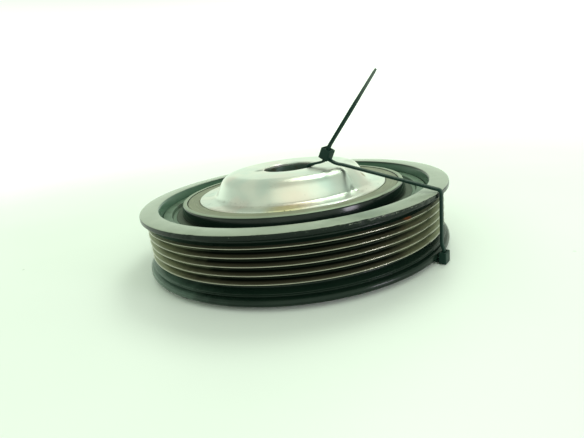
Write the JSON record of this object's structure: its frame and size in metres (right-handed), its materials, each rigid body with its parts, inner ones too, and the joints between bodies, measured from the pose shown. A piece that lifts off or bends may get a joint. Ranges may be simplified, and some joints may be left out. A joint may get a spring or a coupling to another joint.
{
  "type": "electromagnetic clutch",
  "caption": "Electromagnetic clutch of an air-conditioning compressor: grooved belt pulley on a ball bearing, still field coil, and domed hub with a rubber-sprung armature, held by cable ties.",
  "frame": {"origin": "on the shaft's axis, at the rear face of the coil's mounting plate, which seats on the compressor and on which the clutch lies", "axes": "+Z along the shaft's axis, out of the clutch's front; -Y is the side that faces the camera; the cable tie runs down the side at 40.3 degrees from +X towards -Y"},
  "size_m": [0.1536, 0.1536, 0.0815],
  "materials": {
    "pulley_coat": "worn satin black-green coat over steel",
    "rotor_steel": "dull oiled steel",
    "friction": "matt pressed friction compound",
    "bearing_steel": "ground and polished",
    "cage_plastic": "moulded, matt",
    "seal_rubber": "matt",
    "coil_steel": "plain phosphated steel",
    "copper_wire": "enamelled copper wire, wound",
    "resin": "cast resin, glossy",
    "zinc_plate": "bright zinc plate with a faint pink and teal tint",
    "hub_steel": "turned steel, dull",
    "damper_rubber": "weathered matt rubber with olive dust",
    "armature_coat": "glossy black coat",
    "tie_nylon": "black nylon, slight gloss"
  },
  "bodies": {
    "field_coil": {"coil_housing": "coil_steel", "coil_bobbin": "cage_plastic", "coil_winding": "copper_wire", "coil_resin": "resin", "coil_mounting_plate": "coil_steel", "coil_lead_grommet": "seal_rubber", "bearing_inner_ring": "bearing_steel", "cable_tie_lower": "tie_nylon", "cable_tie_upper": "tie_nylon"},
    "pulley": {"pulley_sheave": "pulley_coat", "rotor": "rotor_steel", "friction_lining": "friction", "bearing_outer_ring": "bearing_steel", "bearing_circlip": "rotor_steel", "bearing_seal_front": "seal_rubber", "bearing_seal_rear": "seal_rubber"},
    "ball_rows": {"bearing_cage_front": "cage_plastic", "bearing_cage_rear": "cage_plastic", "bearing_ball_a1": "bearing_steel", "bearing_ball_a2": "bearing_steel", "bearing_ball_a3": "bearing_steel", "bearing_ball_a4": "bearing_steel", "bearing_ball_a5": "bearing_steel", "bearing_ball_a6": "bearing_steel", "bearing_ball_a7": "bearing_steel", "bearing_ball_a8": "bearing_steel", "bearing_ball_a9": "bearing_steel", "bearing_ball_b1": "bearing_steel", "bearing_ball_b2": "bearing_steel", "bearing_ball_b3": "bearing_steel", "bearing_ball_b4": "bearing_steel", "bearing_ball_b5": "bearing_steel", "bearing_ball_b6": "bearing_steel", "bearing_ball_b7": "bearing_steel", "bearing_ball_b8": "bearing_steel", "bearing_ball_b9": "bearing_steel"},
    "hub": {"hub_dome": "zinc_plate", "hub_boss": "hub_steel"},
    "armature": {"armature_plate": "armature_coat", "damper_ring": "damper_rubber"}
  },
  "joints": [
    {"name": "pulley_spin", "type": "hinge", "parent": "field_coil", "child": "pulley", "pos_m": [0, 0, 0], "axis": [0, 0, 1], "continuous": true},
    {"name": "ball_orbit", "type": "hinge", "parent": "field_coil", "child": "ball_rows", "pos_m": [0, 0, 0], "axis": [0, 0, 1], "continuous": true},
    {"name": "hub_spin", "type": "hinge", "parent": "field_coil", "child": "hub", "pos_m": [0, 0, 0], "axis": [0, 0, 1], "continuous": true},
    {"name": "armature_pull", "type": "slide", "parent": "hub", "child": "armature", "axis": [0, 0, -1], "range_m": [0, 0.00045], "stiffness_N_per_m": 20000, "springref_m": -0.0005, "deforming": ["damper_ring"]}
  ],
  "couplings": [
    {"joint": "ball_orbit", "follows": "pulley_spin", "ratio": 0.57333}
  ]
}
